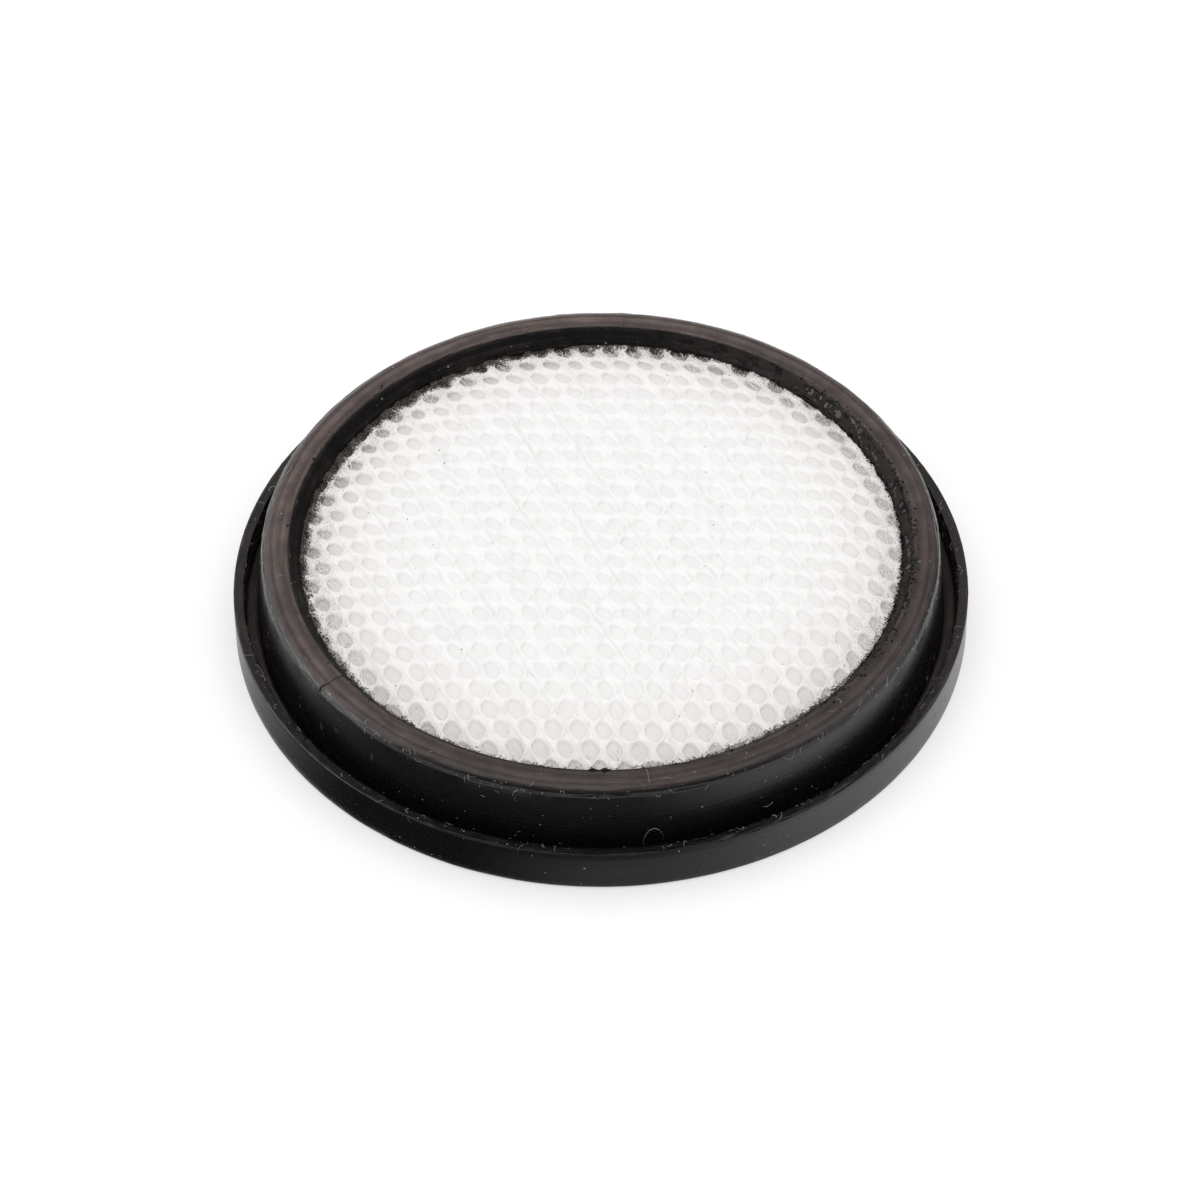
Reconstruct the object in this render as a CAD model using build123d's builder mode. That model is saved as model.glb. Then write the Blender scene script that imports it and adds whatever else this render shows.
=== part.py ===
"""Round vacuum filter: a moulded rubber frame cast round a mesh disc and a filter pad.

The origin is at the centre of the flat base and +Z points out of the mesh side.
All sizes are millimetres. Radii are built up outwards from the mesh window, and
heights upwards from the base, so that a change of one size moves what lies beyond it.
"""

from build123d import *
from math import cos, hypot, pi, radians, sin
import os

# Window and collar, from the mesh outwards
window_radius = 45.0
window_slope = 1.3
land_width = 2.7
shoulder_radius = 1.55
shoulder_facets = 3
collar_flare = 0.9

# Groove that takes the rim of the housing, and the lip outside it
groove_width = 1.95
groove_floor_height = 3.0
lip_thickness = 1.6
lip_rise = 4.2

# Layers, from the base upwards: rear flange, pad, held edge of the mesh, retainer above the mesh
rear_flange_thickness = 2.5
pad_thickness = 8.0
mesh_edge_thickness = 3.0
retainer_height = 2.2

# Edge of the pack inside the frame
pack_grip = 2.2
pack_clearance = 0.15

# Cushion of the mesh: it springs up inside the edge that the frame presses flat
cushion_rise = 1.4
cushion_slope = 3.4

# Staggered eyelets of the mesh: pitch along a row and from row to row, and lie of the pattern
eyelet_pitch = 3.67
row_pitch = 3.67
eyelet_radius = 1.4
eyelet_depth = 1.2
eyelet_turn = 30.0
pattern_turn = -1.0
pattern_shift = (0.88, -0.52)

# Radii that follow
land_inner_radius = window_radius + window_slope
land_outer_radius = land_inner_radius + land_width
collar_top_radius = land_outer_radius + shoulder_radius
collar_base_radius = collar_top_radius + collar_flare
lip_inner_radius = collar_base_radius + groove_width
lip_outer_radius = lip_inner_radius + lip_thickness
pack_radius = window_radius + pack_grip
channel_radius = pack_radius + pack_clearance
cushion_radius = window_radius - cushion_slope

# Heights that follow
mesh_seat_height = rear_flange_thickness + pad_thickness
mesh_edge_height = mesh_seat_height + mesh_edge_thickness
mesh_face_height = mesh_edge_height + cushion_rise
frame_height = mesh_edge_height + retainer_height
shoulder_height = frame_height - shoulder_radius
lip_height = groove_floor_height + lip_rise


def shoulder_points():
    """Return the points of the rounded shoulder, from the collar's wall up to the land."""
    turns = [pi / 2 * facet / shoulder_facets for facet in range(shoulder_facets + 1)]
    return [
        (land_outer_radius + shoulder_radius * cos(turn), shoulder_height + shoulder_radius * sin(turn))
        for turn in turns
    ]


def eyelet_floors():
    """Return the middle of the floor of each eyelet that lies wholly on the flat of the cushion."""
    reach = cushion_radius - eyelet_radius
    rows = int(reach / row_pitch) + 1
    columns = int(reach / eyelet_pitch) + 2
    turn = radians(pattern_turn)
    floors = []
    for row in range(-rows, rows + 1):
        for column in range(-columns, columns + 1):
            along = pattern_shift[0] + (column + 0.5 * (row % 2)) * eyelet_pitch
            across = pattern_shift[1] + row * row_pitch
            x = along * cos(turn) - across * sin(turn)
            y = along * sin(turn) + across * cos(turn)
            if hypot(x, y) < reach:
                floors.append((x, y, mesh_face_height - eyelet_depth))
    return floors


# Rubber frame: one turned section with the channel that holds the edge of the pack
with BuildPart() as rubber_frame:
    with BuildSketch(Plane.XZ):
        with BuildLine():
            Polyline(
                (window_radius, 0),
                (lip_outer_radius, 0),
                (lip_outer_radius, lip_height),
                (lip_inner_radius, lip_height),
                (lip_inner_radius, groove_floor_height),
                (collar_base_radius, groove_floor_height),
                *shoulder_points(),
                (land_inner_radius, frame_height),
                (window_radius, mesh_edge_height),
                (channel_radius, mesh_edge_height),
                (channel_radius, rear_flange_thickness),
                (window_radius, rear_flange_thickness),
                close=True,
            )
        make_face()
    revolve(axis=Axis.Z)

# Filter pad: flat disc of non-woven medium on the rear flange
with BuildPart() as filter_pad:
    with BuildSketch(Plane.XY.offset(rear_flange_thickness)):
        Circle(pack_radius)
    extrude(amount=pad_thickness)

# Six-sided eyelet, standing on its floor and reaching out through the face of the mesh
with BuildPart() as eyelet:
    with BuildSketch():
        RegularPolygon(eyelet_radius, 6, rotation=eyelet_turn)
    extrude(amount=2 * eyelet_depth)

# Mesh disc: cushioned fabric with a net of ridges left standing between the eyelets
with BuildPart() as mesh_disc:
    with BuildSketch(Plane.XZ):
        with BuildLine():
            Polyline(
                (0, mesh_seat_height),
                (pack_radius, mesh_seat_height),
                (pack_radius, mesh_edge_height),
                (window_radius, mesh_edge_height),
                (cushion_radius, mesh_face_height),
                (0, mesh_face_height),
                close=True,
            )
        make_face()
    revolve(axis=Axis.Z)
    with Locations(*eyelet_floors()):
        add(eyelet.part, mode=Mode.SUBTRACT)

os.makedirs("parts", exist_ok=True)
rubber_frame.part.label = "rubber_frame"
filter_pad.part.label = "filter_pad"
mesh_disc.part.label = "mesh_disc"
export_step(rubber_frame.part, "parts/rubber_frame.step")
export_step(filter_pad.part, "parts/filter_pad.step")
export_step(mesh_disc.part, "parts/mesh_disc.step")
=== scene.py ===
"""Looks of a round vacuum filter: a moulded rubber ring, a knitted mesh disc and a felt pad.

Sizes are millimetres in the part's own frame, and become metres only when a mesh is made.
Shapes are worked out as whole arrays: a section carried round the axis for the rubber, a height
over the plan for the mesh, and a section carried along a path for each yarn and hair.
"""

import math

import bpy
import numpy as np
from mathutils import Matrix, Vector


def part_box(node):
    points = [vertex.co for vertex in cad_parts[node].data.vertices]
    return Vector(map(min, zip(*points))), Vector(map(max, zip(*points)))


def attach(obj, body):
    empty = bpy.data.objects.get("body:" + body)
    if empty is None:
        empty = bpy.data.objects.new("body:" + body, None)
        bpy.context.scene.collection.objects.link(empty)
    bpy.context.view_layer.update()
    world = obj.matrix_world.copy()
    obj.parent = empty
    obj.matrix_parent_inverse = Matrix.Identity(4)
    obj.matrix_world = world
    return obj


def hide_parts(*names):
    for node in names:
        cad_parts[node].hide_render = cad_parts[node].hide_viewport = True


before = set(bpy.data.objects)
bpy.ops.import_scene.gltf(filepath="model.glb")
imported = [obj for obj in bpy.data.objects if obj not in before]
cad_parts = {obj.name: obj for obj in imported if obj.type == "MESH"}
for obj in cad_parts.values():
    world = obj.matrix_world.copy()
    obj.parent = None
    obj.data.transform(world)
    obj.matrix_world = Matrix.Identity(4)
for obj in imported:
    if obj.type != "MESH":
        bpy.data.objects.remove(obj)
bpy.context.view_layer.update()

MM = 0.001


def box_mm(node):
    """Return the lowest and highest corner of a solid of the part, in millimetres."""
    low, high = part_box(node)
    return np.array(low) / MM, np.array(high) / MM


# Sizes that come from the solids
FRAME_LOW, FRAME_HIGH = box_mm("rubber_frame")
MESH_LOW, MESH_HIGH = box_mm("mesh_disc")
PAD_LOW, PAD_HIGH = box_mm("filter_pad")
LIP_OUTER = FRAME_HIGH[0]
FRAME_HEIGHT = FRAME_HIGH[2]
MESH_RADIUS = MESH_HIGH[0]
MESH_SEAT = MESH_LOW[2]
PAD_RADIUS = PAD_HIGH[0]
PAD_FOOT = PAD_LOW[2]

# Rubber ring: radii inwards from the lip, heights from the base
LIP_INNER = LIP_OUTER - 1.6
LIP_HEIGHT = 7.2
GROOVE_FLOOR = 3.0
COLLAR_FOOT = LIP_INNER - 1.95
COLLAR_HEAD = COLLAR_FOOT - 1.02
LAND_INNER = 46.3
LAND_CROWN = 0.12
WINDOW = 45.0
GRIP_HEIGHT = 13.5
CHANNEL = MESH_RADIUS + 0.15
SHOULDER_ROUND = 1.55
RING_STEPS = 960

# Knitted mesh: staggered eyelets, leaning a little, on a shallow dome
EYELET_PITCH = 3.67
ROW_PITCH = 3.67
NET_TURN = math.radians(-1.0)
NET_SHIFT = (0.88, -0.52)
EYELET_LONG = 1.96
EYELET_SHORT = 1.2
EYELET_SQUARENESS = 2.2
EYELET_LEAN = math.radians(38)
EYELET_DEPTH = 0.36
RIM_DEPTH = 0.4
CELL_STEPS = 4
CELL_RINGS = ((0.5, 0), (0.88, 0), (0.97, 0), (1, 0.08), (1, 0.4), (1, 1))
CELL_SINK = (1.0, 0.98, 0.6, 0.2, 0.05, 0.0)
GRIP_START = 45.9
MESH_CROWN = 15.85
DOME_DROP = 2.8
DRAWN_IN = 0.55
DRAWN_FROM, DRAWN_TO = 36, 46

# Painted shade in the eyelets, which are also sunk deeper: most along the far rim
DEEPEST_SHADE_ANGLE = math.radians(110)
RIM_SHADE_FADE = 2.0

# Photograph's camera
IMAGE_PIXELS = 1200
SENSOR = 36.0
FOCAL_PIXELS = 5303.3
CAMERA_DISTANCE = 799.84
CAMERA_ELEVATION = math.radians(46.086)
CAMERA_ROLL = math.radians(-0.352)
ORIGIN_OFFSET = (0.997, 12.93)


def make_piece(name, points, faces, material, values=None, smooth=True):
    """Make a mesh object from points in millimetres and lists of equal-sided faces.

    values holds named arrays with one number for each point, for the materials to read.
    """
    mesh = bpy.data.meshes.new(name)
    corners = np.concatenate([group.ravel() for group in faces]).astype(np.int32)
    sizes = np.concatenate([np.full(len(group), group.shape[1]) for group in faces])
    starts = np.concatenate([[0], np.cumsum(sizes)[:-1]]).astype(np.int32)
    mesh.vertices.add(len(points))
    mesh.vertices.foreach_set("co", (points * MM).astype(np.float32).ravel())
    mesh.loops.add(len(corners))
    mesh.loops.foreach_set("vertex_index", corners)
    mesh.polygons.add(len(sizes))
    mesh.polygons.foreach_set("loop_start", starts)
    mesh.update(calc_edges=True)
    mesh.polygons.foreach_set("use_smooth", np.full(len(sizes), smooth))
    for label, numbers in (values or {}).items():
        layer = mesh.attributes.new(label, "FLOAT", "POINT")
        layer.data.foreach_set("value", np.asarray(numbers, dtype=np.float32).ravel())
    mesh.materials.append(material)
    piece = bpy.data.objects.new(name, mesh)
    bpy.context.scene.collection.objects.link(piece)
    return piece


def band_faces(rows, columns, close_rows=True, close_columns=True):
    """Quads over a grid of rows by columns, joined round where an end is closed."""
    row = np.arange(rows if close_rows else rows - 1)[:, None]
    column = np.arange(columns if close_columns else columns - 1)[None, :]
    next_row = (row + 1) % rows
    next_column = (column + 1) % columns
    quads = np.stack(
        [
            row * columns + column,
            next_row * columns + column,
            next_row * columns + next_column,
            row * columns + next_column,
        ],
        axis=-1,
    )
    return quads.reshape(-1, 4)


def wrapped_noise(shape, blur, seed):
    """Noise on a grid that wraps both ways: white noise blurred by a Gaussian, with unit deviation."""
    noise = np.random.default_rng(seed).standard_normal(shape)
    rows = np.fft.fftfreq(shape[0])[:, None] * blur[0]
    columns = np.fft.fftfreq(shape[1])[None, :] * blur[1]
    filtered = np.fft.fft2(noise) * np.exp(-2 * math.pi**2 * (rows**2 + columns**2))
    smooth = np.real(np.fft.ifft2(filtered))
    return smooth / smooth.std()


def smoothstep(low, high, value):
    """Rise smoothly from 0 at low to 1 at high."""
    t = np.clip((value - low) / (high - low), 0, 1)
    return t * t * (3 - 2 * t)


def rounded_outline(corners):
    """Closed outline of rounded corners.

    Each corner is (r, z, radius, points in its arc, points on the run to the next corner). Its arc
    touches both sides: the centre lies on the bisector at radius / sin(half the corner's angle).
    """
    places = np.array([corner[:2] for corner in corners], dtype=float)
    arcs = []
    for index, (_, _, radius, arc_points, _) in enumerate(corners):
        place = places[index]
        back = places[index - 1] - place
        ahead = places[(index + 1) % len(corners)] - place
        back /= np.linalg.norm(back)
        ahead /= np.linalg.norm(ahead)
        half = math.acos(np.clip(back @ ahead, -1, 1)) / 2
        bisector = (back + ahead) / np.linalg.norm(back + ahead)
        centre = place + bisector * radius / math.sin(half)
        first = place + back * radius / math.tan(half) - centre
        last = place + ahead * radius / math.tan(half) - centre
        sweep = math.pi - 2 * half
        share = np.linspace(0, 1, arc_points)[:, None]
        swept = np.sin((1 - share) * sweep) * first + np.sin(share * sweep) * last
        arcs.append(centre + swept / math.sin(sweep))
    outline = []
    for index, arc in enumerate(arcs):
        target = arcs[(index + 1) % len(arcs)][0]
        share = np.linspace(0, 1, corners[index][4] + 2)[1:-1, None]
        outline += [arc, arc[-1] + (target - arc[-1]) * share]
    return np.concatenate(outline)


def outline_normals(outline):
    """Outward normals of a closed outline that runs anticlockwise in r and z."""
    along = np.roll(outline, -1, axis=0) - np.roll(outline, 1, axis=0)
    normals = np.stack([along[:, 1], -along[:, 0]], axis=1)
    return normals / np.linalg.norm(normals, axis=1, keepdims=True)


RING_OUTLINE = rounded_outline(
    [
        (WINDOW, 0, 0.3, 4, 2),
        (LIP_OUTER, 0, 0.6, 6, 4),
        (LIP_OUTER, LIP_HEIGHT, 0.22, 5, 4),
        (LIP_INNER, LIP_HEIGHT, 0.22, 5, 3),
        (LIP_INNER - 0.1, GROOVE_FLOOR, 0.4, 4, 3),
        (COLLAR_FOOT, GROOVE_FLOOR, 0.6, 5, 6),
        (COLLAR_HEAD, FRAME_HEIGHT - LAND_CROWN, SHOULDER_ROUND, 26, 12),
        (LAND_INNER, FRAME_HEIGHT, 0.18, 5, 2),
        (WINDOW, GRIP_HEIGHT, 0.1, 2, 0),
        (CHANNEL, GRIP_HEIGHT, 0.2, 2, 0),
        (CHANNEL, PAD_FOOT, 0.2, 2, 0),
        (WINDOW, PAD_FOOT, 0.2, 2, 0),
    ]
)
CRACK_ANGLE = math.radians(-143.95)
CRACK_SLANT = -0.03
CRACK_WIDTH = 0.09
CRACK_DEPTH = 0.35
CRACK_STEPS = 50
CRACK_HALF_ARC = 0.7

# Dust on the ring: most on the land, at its far left
DUSTIEST_ANGLE = math.radians(130)
LAND_DUST = 0.74
LAND_DUST_SWING = 0.26
LIP_DUST = 0.2
GROOVE_DUST = 0.4
LEAST_DUST = 0.015


def out_of_round(angle):
    """Slow wave of the collar's inner edge round the axis."""
    return 0.05 * np.cos(2 * angle + 0.7) + 0.03 * np.cos(3 * angle + 2.1) + 0.02 * np.cos(5 * angle)


def rubber_ring(material):
    """Moulded ring: the rounded outline carried round the axis, moved along its normals.

    The moves are a slow out-of-round wave, fine unevenness on the cut edges, and one crack across
    the land, a Gaussian groove about a slanted line.
    """
    outline = RING_OUTLINE
    normals = outline_normals(outline)
    even = np.linspace(-math.pi, math.pi, RING_STEPS - CRACK_STEPS, endpoint=False)
    close = CRACK_ANGLE + np.radians(np.linspace(-CRACK_HALF_ARC, CRACK_HALF_ARC, CRACK_STEPS))
    angle = np.sort(np.concatenate([even, close]))[:, None]
    shape = (RING_STEPS, len(outline))
    radius, height = outline[:, 0], outline[:, 1]

    def near(place, width):
        """Weight that falls off with the distance from a place on the section."""
        return np.exp(-((radius - place[0]) ** 2 + (height - place[1]) ** 2) / (2 * width**2))

    fine = wrapped_noise(shape, (2.5, 1.5), 11)
    rough = wrapped_noise(shape, (1.2, 1.0), 12)
    inner_edge = near((LAND_INNER, FRAME_HEIGHT), 0.35)
    lip_edges = near((LIP_OUTER, LIP_HEIGHT), 0.25) + near((LIP_INNER, LIP_HEIGHT), 0.25)
    shoulder = near((COLLAR_HEAD, FRAME_HEIGHT - 0.5), 0.9)
    seam = near((COLLAR_HEAD - 0.28, FRAME_HEIGHT - 0.78), 0.1)
    push = 0.025 * rough * inner_edge + 0.03 * rough * lip_edges + 0.014 * fine * shoulder + 0.008 * fine
    push = push + seam * (0.05 + 0.025 * rough)
    push = push + 0.2 * lip_edges * np.minimum(wrapped_noise(shape, (2.5, 1.5), 13) + 1.2, 0)
    on_land = smoothstep(LAND_INNER - 0.2, LAND_INNER + 0.1, radius) * (height > FRAME_HEIGHT - 1.2)
    off_line = (angle - CRACK_ANGLE) * radius
    off_line = off_line - CRACK_SLANT * (radius - LAND_INNER) - 0.12 * np.sin(2.6 * radius)
    push = push - CRACK_DEPTH * on_land * np.exp(-((off_line / CRACK_WIDTH) ** 2))
    push = push * (height > 0.05) * (radius < LIP_OUTER - 0.02)
    inside = (radius < CHANNEL + 1.5) * (height > GRIP_HEIGHT)
    moved_radius = radius + normals[:, 0] * push + out_of_round(angle) * inside
    moved_height = np.minimum(height + normals[:, 1] * push, FRAME_HEIGHT)
    points = np.stack(
        [moved_radius * np.cos(angle), moved_radius * np.sin(angle), moved_height], axis=-1
    )
    on_top = smoothstep(FRAME_HEIGHT - 0.7, FRAME_HEIGHT - 0.15, height)
    in_groove = (height < GROOVE_FLOOR + 0.4) * (radius > COLLAR_FOOT - 0.5) * (normals[:, 1] > 0.5)
    on_lip = (height > LIP_HEIGHT - 0.05) * (radius > LIP_INNER - 0.3)
    on_top = on_top * smoothstep(LAND_INNER + 0.02, LAND_INNER + 0.3, radius)
    on_top = on_top * (LAND_DUST + LAND_DUST_SWING * np.cos(angle - DUSTIEST_ANGLE))
    # The lip's dust fades out on the near side, a painted dark reflection of the collar there
    on_lip = on_lip * LIP_DUST * smoothstep(-0.75, -0.2, np.sin(angle))
    elsewhere = np.maximum(GROOVE_DUST * in_groove, LEAST_DUST + on_lip)
    dust = np.maximum(on_top, elsewhere)
    return make_piece(
        "rubber_ring", points.reshape(-1, 3), [band_faces(*shape)], material, {"settled": dust}
    )


SOAK_MIDDLE = 43.95
SOAK_SWING = 0.6
SOAK_ANGLE = math.radians(5)
SOAK_OVAL = 0.575
SOAK_OVAL_ANGLE = math.radians(35)
SKIN_STEPS = 2200
SKIN_ROWS = 16
LUMP_ANGLES = (-91.75, -89.6)
LUMP_SIZE = 0.6


def soak_radius(angle):
    """Radius where the white mesh begins: a wave once round the rim plus one twice round it."""
    swing = SOAK_SWING * np.cos(angle - SOAK_ANGLE)
    return SOAK_MIDDLE + swing + SOAK_OVAL * np.cos(2 * (angle - SOAK_OVAL_ANGLE))


def crumbled_skin(material):
    """Ragged skin of rubber over the window's wall and onto the mesh.

    For each angle the path is the curve (1-s)^2 T + 2s(1-s) F + s^2 E from the land's edge T round the
    wall's foot F to a ragged edge E on the mesh, roughened along its normal by noise, most on the right.
    """
    angle = np.linspace(0, 2 * math.pi, SKIN_STEPS, endpoint=False)[:, None]
    share = np.linspace(0, 1, SKIN_ROWS)[None, :]
    shape = (SKIN_STEPS, SKIN_ROWS)
    one = (SKIN_STEPS, 1)
    near_right = smoothstep(0.1, 0.85, np.cos(angle - math.radians(8)))
    ragged = 0.1 * wrapped_noise(one, (1.5, 0), 21) + 0.14 * wrapped_noise(one, (9, 0), 22)
    top_radius = LAND_INNER - 0.085 + out_of_round(angle)
    top_height = FRAME_HEIGHT - 0.07
    far_right = smoothstep(0.4, 0.95, np.cos(angle - SOAK_OVAL_ANGLE))
    end_radius = WINDOW - 0.22 + 0.5 * ragged - 0.12 * near_right + 0.3 * far_right
    end_height = dome(end_radius) + 0.02
    first, bend, last = (1 - share) ** 2, 2 * share * (1 - share), share**2
    radius = first * top_radius + bend * (WINDOW - 0.02) + last * end_radius
    height = first * top_height + bend * (GRIP_HEIGHT + 0.05) + last * end_height
    crumbs = np.maximum(wrapped_noise(shape, (1.3, 0.8), 23), -0.6)
    lumps = wrapped_noise(shape, (4, 1.6), 24)
    body = np.sin(math.pi * share) ** 0.6
    rise_by = body * (0.03 + (0.012 + 0.07 * near_right) * lumps + (0.016 + 0.13 * near_right) * crumbs)
    radius = radius - 0.8 * (1 - share) * rise_by
    height = np.minimum(height + (0.45 + 0.55 * share) * rise_by, FRAME_HEIGHT + 0.06)
    under_radius = radius + 0.25 * (1 - share)
    under_height = np.minimum(height - 0.3, GRIP_HEIGHT + (FRAME_HEIGHT - GRIP_HEIGHT) * (1 - share) - 0.3)
    top = np.stack([radius * np.cos(angle), radius * np.sin(angle), height], axis=-1)
    under = np.stack([under_radius * np.cos(angle), under_radius * np.sin(angle), under_height], axis=-1)
    loop = np.concatenate([top[:, ::-1], under], axis=1)
    dusty = near_right * smoothstep(-0.4, 0.25, 0.7 * crumbs + 0.5 * lumps)
    dusty = np.concatenate([dusty[:, ::-1], 0 * dusty], axis=1)
    faces = [band_faces(*loop.shape[:2])[:, ::-1]]
    return make_piece("rubber_skin", loop.reshape(-1, 3), faces, material, {"settled": dusty})


def dome(radius):
    """Height of the mesh's face: crown - drop (r / window)^4, flat where the frame grips it."""
    return np.maximum(MESH_CROWN - DOME_DROP * (radius / WINDOW) ** 4, GRIP_HEIGHT - 0.12)


def net_warp(along, across):
    """Slow unevenness of the knitting, in millimetres along and across the rows."""
    shift_along = 0.2 * np.sin(0.11 * across + 1.3) + 0.12 * np.sin(0.23 * along - 0.17 * across)
    shift_across = 0.16 * np.sin(0.13 * along + 0.4) + 0.1 * np.sin(0.19 * along + 0.21 * across + 2)
    return shift_along, shift_across


def net_of_plan(x, y):
    """Turn plan coordinates into net coordinates, along the rows and across them."""
    radius = np.maximum(np.hypot(x, y), 1)
    outward = 1 + DRAWN_IN * smoothstep(DRAWN_FROM, DRAWN_TO, radius + 0.3) / radius
    x, y = x * outward, y * outward
    along = x * math.cos(NET_TURN) + y * math.sin(NET_TURN) - NET_SHIFT[0]
    across = y * math.cos(NET_TURN) - x * math.sin(NET_TURN) - NET_SHIFT[1]
    shift_along, shift_across = net_warp(along, across)
    return along + shift_along, across + shift_across


def plan_of_net(along, across):
    """Turn net coordinates into plan coordinates: the first-order inverse of net_of_plan.

    Near the rim, where the mesh dips into the frame, the plan is drawn in towards the middle.
    """
    shift_along, shift_across = net_warp(along, across)
    straight = along - shift_along + NET_SHIFT[0]
    square = across - shift_across + NET_SHIFT[1]
    x = straight * math.cos(NET_TURN) - square * math.sin(NET_TURN)
    y = straight * math.sin(NET_TURN) + square * math.cos(NET_TURN)
    radius = np.maximum(np.hypot(x, y), 1)
    inward = 1 - DRAWN_IN * smoothstep(DRAWN_FROM, DRAWN_TO, radius) / radius
    return x * inward, y * inward


def eyelet_edge(angle, lean):
    """Radius of an eyelet at an angle: a leaning oval, (|cos|/long)^p + (|sin|/short)^p = r^-p."""
    turn = angle - math.pi / 2 - lean
    lengthwise = (np.abs(np.cos(turn)) / EYELET_LONG) ** EYELET_SQUARENESS
    sideways = (np.abs(np.sin(turn)) / EYELET_SHORT) ** EYELET_SQUARENESS
    return (lengthwise + sideways) ** (-1 / EYELET_SQUARENESS)


def eyelet_reach(along, across):
    """Distance from the nearest eyelet's middle, in units of its edge: 1 is the edge."""
    best = np.full(along.shape, 9.0)
    for row_step in (-1, 0, 1):
        row = np.rint(across / ROW_PITCH) + row_step
        stagger = 0.5 * (row % 2)
        for column_step in (-1, 0, 1):
            column = np.rint(along / EYELET_PITCH - stagger) + column_step
            off_along = along - (column + stagger) * EYELET_PITCH
            off_across = across - row * ROW_PITCH
            edge = eyelet_edge(np.arctan2(off_across, off_along), EYELET_LEAN)
            best = np.minimum(best, np.hypot(off_along, off_across) / edge)
    return best


def disc_grid(side, radius):
    """Even grid of points over a disc: the concentric map of a square onto a circle."""
    line = np.linspace(-1, 1, side)
    u, v = np.meshgrid(line, line, indexing="ij")
    wide = np.abs(u) > np.abs(v)
    lead = np.where(wide, u, v)
    other = np.where(wide, v, u)
    turn = math.pi / 4 * other / lead
    turn = np.where(wide, turn, math.pi / 2 - turn)
    return radius * lead * np.cos(turn), radius * lead * np.sin(turn)


def close_below(points, faces, edges, foot):
    """Close a sheet with an upright wall under its border edges and a flat foot.

    The border is made of the edges that no other face runs along; they go anticlockwise.
    """
    pairs, first, count = np.unique(np.sort(edges, axis=1), axis=0, return_index=True, return_counts=True)
    border = edges[first[count == 1]]
    rim, place = np.unique(border, return_inverse=True)
    below = points[rim].copy()
    below[:, 2] = foot
    low = len(points) + place.reshape(border.shape)
    closed = np.concatenate([points, below, [[0, 0, foot]]])
    wall = np.stack([low[:, 0], low[:, 1], border[:, 1], border[:, 0]], axis=1)
    base = np.stack([np.full(len(low), len(closed) - 1), low[:, 1], low[:, 0]], axis=1)
    return closed, [*faces, wall, base]


def cell_border():
    """Border of the six-sided cell round an eyelet, anticlockwise: points as near to it as to the next."""
    half = EYELET_PITCH / 2
    side = (ROW_PITCH**2 - half**2) / (2 * ROW_PITCH)
    peak = (ROW_PITCH**2 + half**2) / (2 * ROW_PITCH)
    corners = np.array([[half, -side], [half, side], [0, peak], [-half, side], [-half, -side], [0, -peak]])
    share = np.arange(CELL_STEPS)[None, :, None] / CELL_STEPS
    border = corners[:, None] + (np.roll(corners, -1, axis=0) - corners)[:, None] * share
    return border.reshape(-1, 2)


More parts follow.
